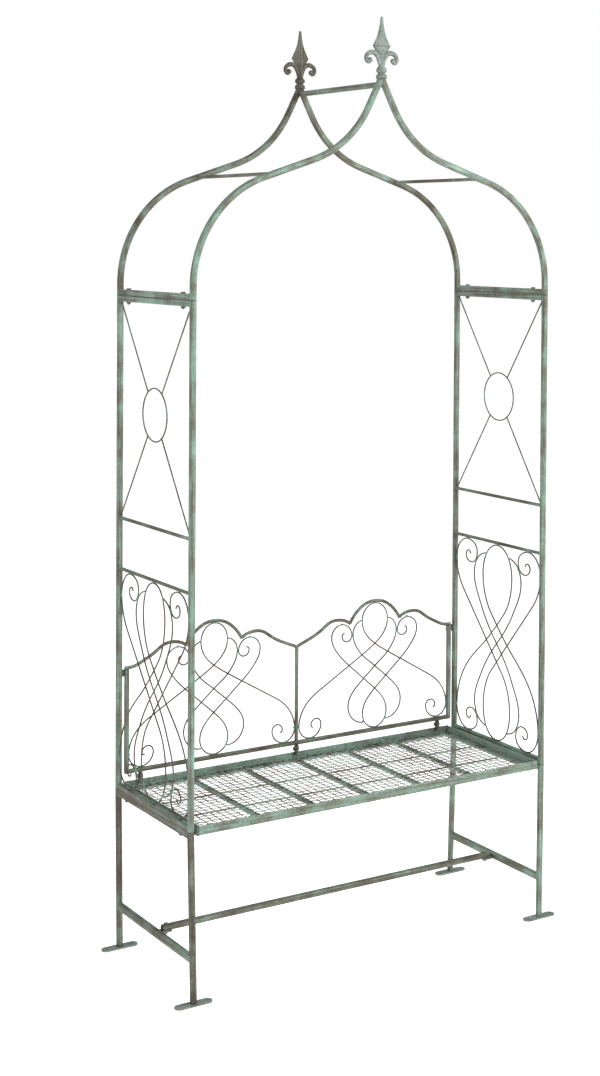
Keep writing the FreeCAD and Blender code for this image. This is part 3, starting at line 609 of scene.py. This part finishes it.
def wovenSeat():
    size = seatMesh
    low, high = lowHigh("seat_mesh")
    middle = (low.z + high.z) / 2
    lift = size["wire"] / 2
    drawing = bpy.data.curves.new("seatMeshWires", "CURVE")
    drawing.dimensions = "3D"
    drawing.bevel_depth = size["wire"] / 2
    drawing.bevel_resolution = 1
    drawing.use_fill_caps = True
    pitch, step = size["pitch"], size["pitch"] / size["stepsPerPitch"]
    outermost = lowHigh("seat_bolts")[1]
    boltX, boltY = outermost.x - size["boltHeadHalf"], outermost.y - size["boltHeadHalf"]
    reach = (high.x, high.y)
    for along, across in ((0, 1), (1, 0)):
        boltAlong, boltAcross = (boltX, boltY) if along == 0 else (boltY, boltX)
        count = int((reach[across] - size["wire"]) / pitch)
        for line in range(-count, count + 1):
            half = reach[along]
            if abs(abs(line * pitch) - boltAcross) < size["boltKeep"]:
                half = boltAlong - size["boltKeep"]
            rings = int(2 * half / step)
            wire = drawing.splines.new("POLY")
            wire.points.add(rings)
            phase = random.uniform(0, 6.28)
            for ring in range(rings + 1):
                run = -half + 2 * half * ring / rings
                place = [0.0, 0.0, 0.0]
                place[along] = run
                place[across] = line * pitch + size["sway"] * math.sin(run / pitch * 0.9 + phase)
                sign = (1 if line % 2 else -1) * (1 if along == 0 else -1)
                place[2] = middle + sign * lift * math.cos(math.pi * run / pitch)
                wire.points[ring].co = (*place, 1)
    piece = asMesh(drawing, "seatMeshWires")
    smooth(piece, 60)
    handOver(piece, "seat_mesh", meshPaint, "seat_mesh")


def meshWirePaint(name):
    material = bpy.data.materials.new(name)
    material.use_nodes = True
    tree = material.node_tree
    tree.nodes.clear()
    size = seatMesh
    coords = addNode(tree, "ShaderNodeTexCoord").outputs["Object"]
    drift = addNode(tree, "ShaderNodeTexNoise",
                    {"Vector": coords, "Scale": 1 / size["driftLength"], "Detail": 4.0,
                     "Roughness": 0.6})
    ramp = addNode(tree, "ShaderNodeValToRGB", {"Fac": drift.outputs[0]})
    fillRamp(ramp, [(0.36, size["dark"]), (0.45, size["brown"]), (0.53, size["grey"]),
                    (0.62, size["green"])])
    shader = addNode(tree, "ShaderNodeBsdfPrincipled",
                     {"Base Color": ramp.outputs["Color"], "Roughness": 0.55})
    addNode(tree, "ShaderNodeOutputMaterial", {"Surface": shader.outputs[0]})
    return material


meshPaint = meshWirePaint("brown crimped mesh wire rubbed with green")
wovenSeat()
print("woven seat mesh")


# Cast finial: a four-sided spear on a ringed neck with two curled leaves
finialSizes = {
    "spear": [(0.20, 7.0, 6.0), (0.30, 8.0, 6.2), (0.40, 14.5, 7.0), (0.47, 22.0, 7.6),
              (0.525, 27.0, 8.0), (0.58, 22.5, 7.7), (0.66, 15.8, 7.0), (0.76, 10.0, 6.0),
              (0.87, 6.3, 4.8), (0.95, 4.9, 4.1), (0.985, 4.0, 3.4), (1.0, 2.4, 2.1)],
    "edgeRound": 0.5 * mm,
    "neck": [(0.0, 0.0), (13.6, 0.0), (14.0, 2.0), (13.6, 7.5), (12.2, 10.2), (9.6, 11.4),
             (8.9, 13.2), (9.6, 15.2), (12.2, 16.4), (13.5, 19.2), (13.3, 23.5), (11.8, 26.6),
             (9.4, 28.0), (8.2, 31.0), (7.4, 36.0), (0.0, 38.0)],
    "neckSides": 32,
    "leaf": [(3.0, 0.17, 4.6), (6.5, 0.27, 5.4), (15.0, 0.380, 6.1), (26.0, 0.418, 6.3),
             (38.5, 0.398, 6.0), (45.6, 0.343, 5.5), (44.3, 0.283, 5.2), (38.2, 0.264, 5.4),
             (34.6, 0.293, 6.0)],
    "leafFlat": 0.84,
    "ball": 7.0 * mm,
    "ballSides": 20,
    "ballRings": 12,
}


def lathe(profile, steps, name):
    # Spins an outline of (radius, height) points round Z.
    outline = bpy.data.meshes.new(name)
    outline.from_pydata([(r, 0, z) for r, z in profile],
                        [(i, i + 1) for i in range(len(profile) - 1)], [])
    turned = bpy.data.objects.new(name, outline)
    bpy.context.collection.objects.link(turned)
    bpy.ops.object.select_all(action="DESELECT")
    turned.select_set(True)
    bpy.context.view_layer.objects.active = turned
    bpy.ops.object.mode_set(mode="EDIT")
    bpy.ops.mesh.select_all(action="SELECT")
    bpy.ops.mesh.spin(steps=steps, angle=2 * math.pi, center=(0, 0, 0), axis=(0, 0, 1))
    bpy.ops.mesh.select_all(action="SELECT")
    bpy.ops.mesh.remove_doubles(threshold=0.01 * mm)
    bpy.ops.mesh.normals_make_consistent(inside=False)
    bpy.ops.object.mode_set(mode="OBJECT")
    return turned


def latheNeck(base):
    profile = [(r * mm, base + z * mm) for r, z in finialSizes["neck"]]
    neck = lathe(profile, finialSizes["neckSides"], "neck")
    smooth(neck, 40)
    return neck


def forgeSpear(base, height):
    # The diamond section is drawn once and extruded up through each width and thickness.
    sections = finialSizes["spear"]
    share, wide, thick = sections[0]
    bpy.ops.mesh.primitive_circle_add(vertices=4, radius=1.0, fill_type="NGON",
                                      location=(0, 0, base + share * height))
    spear = bpy.context.object
    bpy.ops.object.transform_apply(location=True)
    bpy.ops.object.mode_set(mode="EDIT")
    bpy.ops.mesh.select_all(action="SELECT")
    bpy.ops.transform.resize(value=(wide * mm, thick * mm, 1))
    for upper, wider, thicker in sections[1:]:
        bpy.ops.mesh.extrude_region_move(
            TRANSFORM_OT_translate={"value": (0, 0, (upper - share) * height)})
        bpy.ops.transform.resize(value=(wider / wide, thicker / thick, 1))
        share, wide, thick = upper, wider, thicker
    bpy.ops.mesh.select_all(action="SELECT")
    bpy.ops.mesh.normals_make_consistent(inside=False)
    bpy.ops.object.mode_set(mode="OBJECT")
    rounding = spear.modifiers.new("edges", "BEVEL")
    rounding.width = finialSizes["edgeRound"]
    rounding.segments = 2
    rounding.limit_method = "ANGLE"
    rounding.angle_limit = math.radians(30)
    bpy.ops.object.modifier_apply(modifier="edges")
    smooth(spear, 28)
    return spear


def castLeaf(base, height, side):
    drawing = bpy.data.curves.new("leaf", "CURVE")
    drawing.dimensions = "3D"
    drawing.bevel_depth = 1 * mm
    drawing.bevel_resolution = 4
    drawing.use_fill_caps = True
    stem = drawing.splines.new("BEZIER")
    stem.resolution_u = 6
    stem.bezier_points.add(len(finialSizes["leaf"]) - 1)
    for point, (x, share, radius) in zip(stem.bezier_points, finialSizes["leaf"]):
        point.co = (side * x * mm, 0, base + share * height)
        point.radius = radius
        point.handle_left_type = point.handle_right_type = "AUTO"
    leaf = asMesh(drawing, "leaf")
    tipX, tipShare, _ = finialSizes["leaf"][-1]
    bpy.ops.mesh.primitive_uv_sphere_add(
        segments=finialSizes["ballSides"], ring_count=finialSizes["ballRings"],
        radius=finialSizes["ball"], location=(side * tipX * mm, 0, base + tipShare * height))
    ball = bpy.context.object
    settle(ball)
    leaf = joined([leaf, ball], "leaf")
    leaf.scale.y = finialSizes["leafFlat"]
    settle(leaf)
    smooth(leaf, 50)
    return leaf


def finial(name, pieceName, y, paint):
    low, high = lowHigh(name)
    height = high.z - low.z
    pieces = [forgeSpear(low.z, height), latheNeck(low.z), castLeaf(low.z, height, 1),
              castLeaf(low.z, height, -1)]
    piece = joined(pieces, pieceName)
    piece.location.y = y
    settle(piece)
    handOver(piece, "finials", paint, name)


finial("finial_front", "castFinialFront", -postY, castPaint)
finial("finial_back", "castFinialBack", postY, shadedCastPaint)
print("cast finials")


# Bolts and nuts: M6 with a chamfered hex and cut threads
fastener = {
    "shank": 2.95 * mm,
    "threadDepth": 0.35 * mm,
    "pitch": 1.0 * mm,
    "chamfer": 0.7 * mm,
    "chamferDrop": 0.55,
    "rodSides": 12,
    "acrossFlats": 10 * mm,
    "headHeight": 4 * mm,
    "nutHeight": 5 * mm,
    "lyingAbove": 6 * mm,
    "sunkHead": (3 * mm, 6 * mm, 3 * mm),
    "sunkEdge": 0.3 * mm,
}


def islandBoxes(name):
    # Box of each loose part of a CAD node, as (lowest corner, highest corner).
    mesh = nodes[name].data
    spots, group = {}, []
    for vertex in mesh.vertices:
        key = tuple(round(c * 1e6) for c in vertex.co)
        group.append(spots.setdefault(key, len(spots)))
    parent = list(range(len(spots)))

    def root(item):
        while parent[item] != item:
            parent[item] = parent[parent[item]]
            item = parent[item]
        return item

    for edge in mesh.edges:
        first, second = (root(group[v]) for v in edge.vertices)
        parent[first] = second
    boxes = {}
    for vertex in mesh.vertices:
        key = root(group[vertex.index])
        low, high = boxes.setdefault(key, (vertex.co.copy(), vertex.co.copy()))
        for axis in range(3):
            low[axis] = min(low[axis], vertex.co[axis])
            high[axis] = max(high[axis], vertex.co[axis])
    return [boxes[key] for key in sorted(boxes)]


def hexBody(acrossFlats, z0, z1, bothEnds):
    bpy.ops.mesh.primitive_cylinder_add(vertices=6, radius=acrossFlats / math.sqrt(3),
                                        depth=z1 - z0, location=(0, 0, (z0 + z1) / 2))
    body = bpy.context.object
    settle(body)
    bpy.ops.object.mode_set(mode="EDIT")
    bpy.ops.mesh.select_all(action="DESELECT")
    bpy.ops.object.mode_set(mode="OBJECT")
    for face in body.data.polygons:
        face.select = face.normal.z > 0.9 or (bothEnds and face.normal.z < -0.9)
    bpy.ops.object.mode_set(mode="EDIT")
    bpy.ops.mesh.inset(thickness=fastener["chamfer"], depth=0)
    bpy.ops.object.mode_set(mode="OBJECT")
    rim = acrossFlats / 2
    for vertex in body.data.vertices:
        flat = math.hypot(vertex.co.x, vertex.co.y)
        atEnd = vertex.co.z > z1 - 1e-6 or (bothEnds and vertex.co.z < z0 + 1e-6)
        if flat > rim * 1.02 and atEnd:
            inward = -1 if vertex.co.z > (z0 + z1) / 2 else 1
            vertex.co.z += inward * fastener["chamfer"] * fastener["chamferDrop"]
    smooth(body, 20)
    return body


def threadedRod(z0, z1):
    turns = max(1, round((z1 - z0) / fastener["pitch"]))
    outer, inner = fastener["shank"], fastener["shank"] - fastener["threadDepth"]
    step = (z1 - z0) / turns
    profile = [(0, z0)]
    for turn in range(turns):
        profile += [(inner, z0 + step * turn), (outer, z0 + step * (turn + 0.5))]
    profile += [(inner, z1), (0, z1)]
    return lathe(profile, fastener["rodSides"], "thread")


def placeCopies(model, name, boxes, alongX):
    copies = []
    for low, high in boxes:
        copy = bpy.data.objects.new(name, model.data.copy())
        bpy.context.collection.objects.link(copy)
        middle = (low + high) / 2
        if alongX:
            copy.rotation_euler = (0, math.radians(90), 0)
            copy.location = (low.x, middle.y, middle.z)
        else:
            copy.location = (middle.x, middle.y, low.z)
        settle(copy)
        copies.append(copy)
    bpy.data.objects.remove(model)
    return copies


def hexBolt(length, headHeight, acrossFlats):
    head = hexBody(acrossFlats, length - headHeight, length, False)
    rod = threadedRod(0, length - headHeight)
    return joined([head, rod], "bolt")


def sunkBolt(length):
    small, wide, deep = fastener["sunkHead"]
    bpy.ops.mesh.primitive_cone_add(vertices=24, radius1=small, radius2=wide, depth=deep,
                                    location=(0, 0, length - deep / 2))
    cone = bpy.context.object
    settle(cone)
    bpy.ops.object.mode_set(mode="EDIT")
    bpy.ops.mesh.select_all(action="SELECT")
    bpy.ops.mesh.bevel(offset=fastener["sunkEdge"], segments=2)
    bpy.ops.object.mode_set(mode="OBJECT")
    smooth(cone, 30)
    return joined([cone, threadedRod(0, length - deep)], "bolt")


def fastenAll():
    size, head, tall = (fastener[key] for key in ("acrossFlats", "headHeight", "nutHeight"))
    nuts = []
    for alongX in (False, True):
        boxes = [b for b in islandBoxes("hex_nuts")
                 if ((b[1] - b[0]).z >= fastener["lyingAbove"]) == alongX]
        nuts += placeCopies(hexBody(size, 0, tall, True), "nut", boxes, alongX)
    handOver(joined(nuts, "chamferedNuts"), "fasteners", boltPaint, "hex_nuts")
    for node, name, alongX in (("seat_bolts", "seatBolts", False),
                               ("stretcher_bolts", "stretcherBolts", False),
                               ("hinge_pins", "hingeBolts", True)):
        boxes = islandBoxes(node)
        length = (boxes[0][1] - boxes[0][0])[0 if alongX else 2]
        bolts = placeCopies(hexBolt(length, head, size), name, boxes, alongX)
        handOver(joined(bolts, name), "fasteners", boltPaint, node)
    boxes = islandBoxes("frame_bolts")
    hexed = [b for b in boxes if b[1].z > archJoint]
    sunk = [b for b in boxes if b[1].z <= archJoint]
    bolts = placeCopies(hexBolt((hexed[0][1] - hexed[0][0]).z, head, size), "frameBolts", hexed,
                        False)
    bolts += placeCopies(sunkBolt((sunk[0][1] - sunk[0][0]).z), "frameBolts", sunk, False)
    handOver(joined(bolts, "frameBolts"), "fasteners", boltPaint, "frame_bolts")


boltPaint = verdigris("brown painted bolts", "any", wearAndShade=0.07)
fastenAll()
print("bolts and nuts")


# Square tube and flat bar have slightly rounded edges
edgeRound = {
    "tube": 1.3 * mm,
    "bar": 0.9 * mm,
    "plate": 0.5 * mm,
    "mergeWithin": 0.004 * mm,
    "flatWithin": math.radians(1.0),
    "sharperThan": math.radians(50),
    "segments": 2,
}


def easeEdges(name, width):
    part = nodes[name]
    merge = part.modifiers.new("merge", "WELD")
    merge.merge_threshold = edgeRound["mergeWithin"]
    flat = part.modifiers.new("flat", "DECIMATE")
    flat.decimate_type = "DISSOLVE"
    flat.angle_limit = edgeRound["flatWithin"]
    rounding = part.modifiers.new("round", "BEVEL")
    rounding.width = width
    rounding.segments = edgeRound["segments"]
    rounding.limit_method = "ANGLE"
    rounding.angle_limit = edgeRound["sharperThan"]
    rounding.use_clamp_overlap = True


roundedParts = {
    "tube": ["leg_top_rail", "side_bottom_rail", "side_top_rail", "arch_base_rail",
             "leg_cross_rail"],
    "bar": ["stretcher", "ridge_bar", "back_bottom_rail", "back_uprights", "seat_front_rail",
            "seat_back_rail", "seat_end_rail"],
    "plate": ["foot_plates", "stretcher_tabs", "seat_brackets", "back_corner_plates",
              "seat_slats"],
}
for kind, starts in roundedParts.items():
    for start in starts:
        for name in nodes:
            if name.startswith(start):
                easeEdges(name, edgeRound[kind])
print("rounded edges")


# Floor, lights and camera
studio = {
    "aim": (0, 0, 1.2),
    "floorZ": -0.5 * mm,
    "floorRoughness": 0.9,
    "floorSize": 60.0,
    "floorColour": "#f7f7f5",
    "floorGlow": 0.82,
    "skyStrength": 0.34,
    "keyPower": 188.0,
    "keySize": 2.0,
    "keyPlace": (1.9, -3.9, 3.6),
    "fillPower": 36.0,
    "fillSize": 3.0,
    "fillPlace": (-4.5, -1.5, 2.4),
    "backPower": 40.0,
    "backSize": 3.0,
    "backPlace": (-1.2, 4.6, 3.0),
}
cameraSizes = {
    "place": (-2.5145, -3.9704, 1.8366),
    "azimuth": 32.623,
    "tilt": 1.109,
    "roll": 0.3515,
    "lens": 60.087,
    "sensor": 36,
    "shiftX": -0.0434,
    "shiftY": -0.2491,
}

bpy.ops.mesh.primitive_plane_add(size=studio["floorSize"], location=(0, 0, studio["floorZ"]))
floor = bpy.context.object
floor.name = "studioFloor"
floorPaint = bpy.data.materials.new("matt white paper floor")
floorPaint.use_nodes = True
floorShader = floorPaint.node_tree.nodes["Principled BSDF"]
floorShader.inputs["Base Color"].default_value = linearColour(studio["floorColour"])
floorShader.inputs["Roughness"].default_value = studio["floorRoughness"]
floorShader.inputs["Emission Color"].default_value = (1, 1, 1, 1)
floorShader.inputs["Emission Strength"].default_value = studio["floorGlow"]
floor.data.materials.append(floorPaint)

world = bpy.data.worlds.new("studioSky")
bpy.context.scene.world = world
world.use_nodes = True
skyTree = world.node_tree
soft = skyTree.nodes["Background"]
soft.inputs["Strength"].default_value = studio["skyStrength"]
soft.inputs["Color"].default_value = (1, 1, 1, 1)
seen = addNode(skyTree, "ShaderNodeBackground", {"Color": (1, 1, 1, 1), "Strength": 1.0})
rays = addNode(skyTree, "ShaderNodeLightPath")
sky = addNode(skyTree, "ShaderNodeMixShader",
              {0: rays.outputs["Is Camera Ray"], 1: soft.outputs[0], 2: seen.outputs[0]})
skyTree.links.new(sky.outputs[0], skyTree.nodes["World Output"].inputs["Surface"])
bpy.context.scene.view_settings.view_transform = "Standard"


def softBox(name, place, power, size):
    bpy.ops.object.light_add(type="AREA", location=place)
    lamp = bpy.context.object
    lamp.name = name
    lamp.data.energy = power
    lamp.data.size = size
    aim = Vector(studio["aim"]) - Vector(place)
    lamp.rotation_euler = aim.to_track_quat("-Z", "Y").to_euler()


softBox("keyLight", studio["keyPlace"], studio["keyPower"], studio["keySize"])
softBox("fillLight", studio["fillPlace"], studio["fillPower"], studio["fillSize"])
softBox("backLight", studio["backPlace"], studio["backPower"], studio["backSize"])

bpy.ops.object.camera_add(location=cameraSizes["place"])
camera = bpy.context.object
camera.data.lens = cameraSizes["lens"]
camera.data.sensor_width = cameraSizes["sensor"]
camera.data.shift_x = cameraSizes["shiftX"]
camera.data.shift_y = cameraSizes["shiftY"]
azimuth, tilt = math.radians(cameraSizes["azimuth"]), math.radians(cameraSizes["tilt"])
ahead = Vector((math.sin(azimuth) * math.cos(tilt), math.cos(azimuth) * math.cos(tilt),
                -math.sin(tilt)))
camera.rotation_mode = "QUATERNION"
level = ahead.to_track_quat("-Z", "Y")
camera.rotation_quaternion = level @ Quaternion((0, 0, 1), math.radians(cameraSizes["roll"]))
bpy.context.scene.camera = camera
print("floor, lights and camera")
